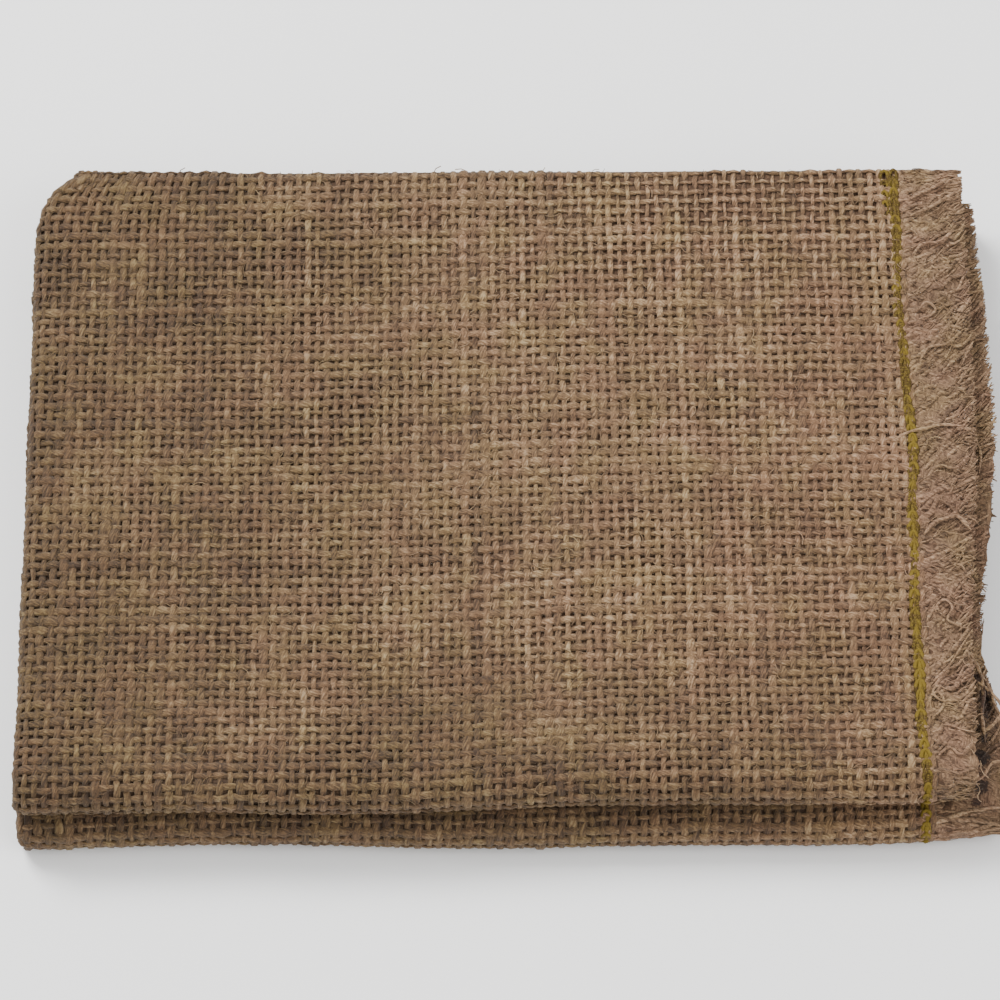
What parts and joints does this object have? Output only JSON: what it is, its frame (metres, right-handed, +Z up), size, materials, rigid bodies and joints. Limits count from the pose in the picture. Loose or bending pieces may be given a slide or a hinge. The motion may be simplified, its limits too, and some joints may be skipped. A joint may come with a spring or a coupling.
{
  "type": "folded burlap sack",
  "caption": "Woven jute sack folded flat, half across its width and back and forth along its length, with stitched side seams and frayed edges.",
  "frame": {"origin": "on the ground, under the middle of the folded packet", "axes": "+X across the packet towards its two side seams, +Y towards the edge where the sack's closed end lies on top, +Z up"},
  "size_m": [0.2628, 0.1998, 0.0252],
  "materials": {
    "jute_cloth": "open plain weave of coarse natural jute yarn, matt and slightly hairy",
    "jute_fringe": "loose hairy jute yarn ends, matted together",
    "seam_thread": "dull yellow sewing thread"
  },
  "bodies": {
    "root": {"sack_cloth": "jute_cloth", "seam_fringe_upper": "jute_fringe", "seam_fringe_lower": "jute_fringe"}
  },
  "joints": []
}
